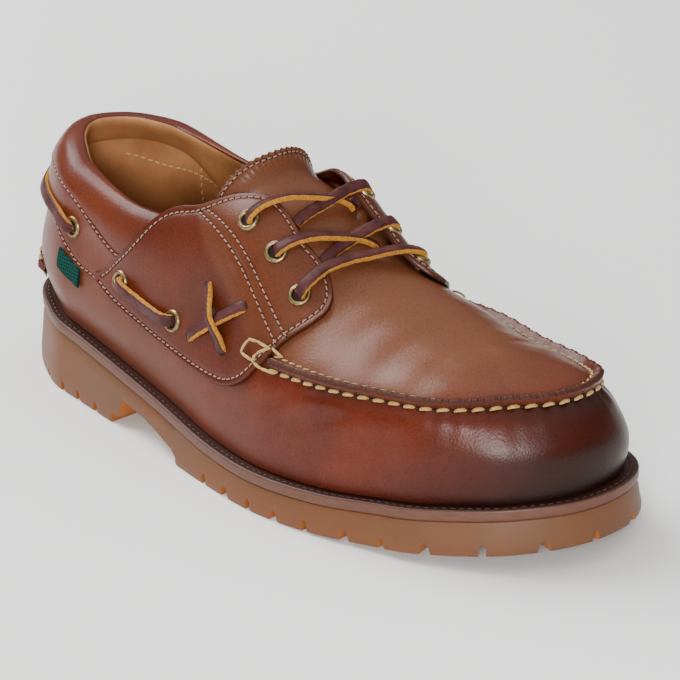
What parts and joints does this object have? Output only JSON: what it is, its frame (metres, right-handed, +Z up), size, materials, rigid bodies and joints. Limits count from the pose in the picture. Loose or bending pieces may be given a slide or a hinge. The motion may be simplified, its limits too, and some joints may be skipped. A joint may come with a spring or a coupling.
{
  "type": "boat shoe",
  "caption": "Right men's brown leather boat shoe with moc toe, rawhide laces and a lugged gum rubber sole, standing empty.",
  "frame": {"origin": "on the floor, under the middle of the shoe's overall box", "axes": "+X from heel to toe, +Y to the medial (big toe) side of this right shoe, +Z up"},
  "size_m": [0.3066, 0.117, 0.1202],
  "materials": {
    "gum_rubber": "satin, slightly glossy gum",
    "brown_midsole": "dark burnished top, lighter cut edge",
    "tan_lining": "matt lining leather",
    "brown_leather": "waxed pull-up leather with a soft shine, darker at the toe",
    "antique_brass": "worn antique",
    "burgundy_lace": "grain face burgundy, suede underside mustard",
    "green_woven": "matt woven tape"
  },
  "bodies": {
    "root": {"outsole": "gum_rubber", "welt": "brown_midsole", "insole": "tan_lining", "upper": "brown_leather", "front_quarter_lateral": "brown_leather", "front_quarter_medial": "brown_leather", "collar": "brown_leather", "tongue": "brown_leather", "plug_seam": "brown_leather", "heel_seam": "brown_leather", "side_tag": "green_woven", "throat_eyelet_lateral_1": "antique_brass", "throat_eyelet_lateral_2": "antique_brass", "throat_eyelet_lateral_3": "antique_brass", "throat_eyelet_medial_1": "antique_brass", "throat_eyelet_medial_2": "antique_brass", "throat_eyelet_medial_3": "antique_brass", "side_eyelet_lateral_1": "antique_brass", "side_eyelet_lateral_2": "antique_brass", "side_eyelet_lateral_3": "antique_brass", "side_eyelet_medial_1": "antique_brass", "side_eyelet_medial_2": "antique_brass", "side_eyelet_medial_3": "antique_brass", "throat_lace_crossing_1": "burgundy_lace", "throat_lace_crossing_2": "burgundy_lace", "throat_lace_bar": "burgundy_lace", "side_lace_lateral": "burgundy_lace", "side_lace_medial": "burgundy_lace", "side_cross_lateral": "burgundy_lace", "side_cross_medial": "burgundy_lace", "heel_lace": "burgundy_lace"}
  },
  "joints": []
}
